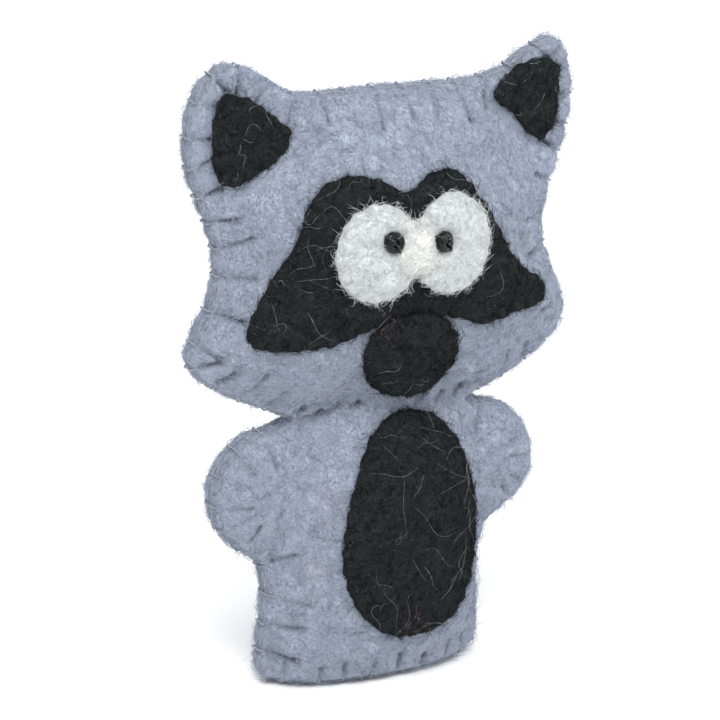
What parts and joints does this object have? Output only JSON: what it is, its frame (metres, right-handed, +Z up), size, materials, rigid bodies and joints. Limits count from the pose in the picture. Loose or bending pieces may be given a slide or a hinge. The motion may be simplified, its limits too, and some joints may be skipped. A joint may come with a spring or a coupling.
{
  "type": "finger puppet",
  "caption": "Hand-sewn felt raccoon finger puppet with a stuffed head, folding ears and arms, black mask and belly patches, and a tube body open at the hem.",
  "frame": {"origin": "middle of the puppet's box, on the surface that the hem stands on", "axes": "+Z up along the puppet's height, -Y is the way the face looks, +X is the puppet's own left"},
  "size_m": [0.0694, 0.0244, 0.1002],
  "materials": {
    "grey_felt": "fuzzy wool felt, mottled blue-grey",
    "black_felt": "fuzzy black wool felt with stray pale fibres",
    "white_felt": "fuzzy white wool felt",
    "wadding": "loose wool wadding",
    "grey_thread": "twisted cotton sewing thread, grey",
    "black_thread": "twisted cotton sewing thread, black",
    "white_thread": "twisted cotton sewing thread, white",
    "black_bead": "glossy black glass seed bead"
  },
  "bodies": {
    "torso": {"body_front_felt": "grey_felt", "body_back_felt": "grey_felt", "belly_patch": "black_felt", "belly_stitches": "black_thread", "body_edge_stitches": "grey_thread", "hem_stitches": "grey_thread", "neck_stitches": "grey_thread"},
    "head": {"head_front_felt": "grey_felt", "head_back_felt": "grey_felt", "head_stuffing": "wadding", "head_edge_stitches": "grey_thread", "eye_mask": "black_felt", "mask_stitches": "black_thread", "left_eye_white": "white_felt", "right_eye_white": "white_felt", "eye_stitches": "white_thread", "left_pupil_bead": "black_bead", "right_pupil_bead": "black_bead", "pupil_threads": "black_thread", "nose_pad": "black_felt", "nose_stitches": "black_thread"},
    "left_ear": {"left_ear_front_felt": "grey_felt", "left_ear_back_felt": "grey_felt", "left_ear_patch": "black_felt", "left_ear_stitches": "grey_thread"},
    "right_ear": {"right_ear_front_felt": "grey_felt", "right_ear_back_felt": "grey_felt", "right_ear_patch": "black_felt", "right_ear_stitches": "grey_thread"},
    "left_arm": {"left_arm_front_felt": "grey_felt", "left_arm_back_felt": "grey_felt", "left_arm_stuffing": "wadding", "left_arm_stitches": "grey_thread"},
    "right_arm": {"right_arm_front_felt": "grey_felt", "right_arm_back_felt": "grey_felt", "right_arm_stuffing": "wadding", "right_arm_stitches": "grey_thread"}
  },
  "joints": [
    {"name": "neck_nod", "type": "hinge", "parent": "torso", "child": "head", "pos_m": [0, 0.00229, 0.044], "axis": [1, 0, 0], "range_deg": [-25, 30], "stiffness_Nm_per_rad": 0.03},
    {"name": "left_ear_fold", "type": "hinge", "parent": "head", "child": "left_ear", "pos_m": [0.02275, 0.00229, 0.0859], "axis": [0.705, 0, -0.7092], "range_deg": [-25, 35], "stiffness_Nm_per_rad": 0.003},
    {"name": "right_ear_fold", "type": "hinge", "parent": "head", "child": "right_ear", "pos_m": [-0.02275, 0.00229, 0.0859], "axis": [0.705, 0, 0.7092], "range_deg": [-25, 35], "stiffness_Nm_per_rad": 0.003},
    {"name": "left_arm_swing", "type": "hinge", "parent": "torso", "child": "left_arm", "pos_m": [0.0205, 0.00229, 0.0314], "axis": [0, 0, -1], "range_deg": [-35, 40], "stiffness_Nm_per_rad": 0.003},
    {"name": "right_arm_swing", "type": "hinge", "parent": "torso", "child": "right_arm", "pos_m": [-0.0205, 0.00229, 0.0314], "axis": [0, 0, 1], "range_deg": [-35, 40], "stiffness_Nm_per_rad": 0.003}
  ]
}
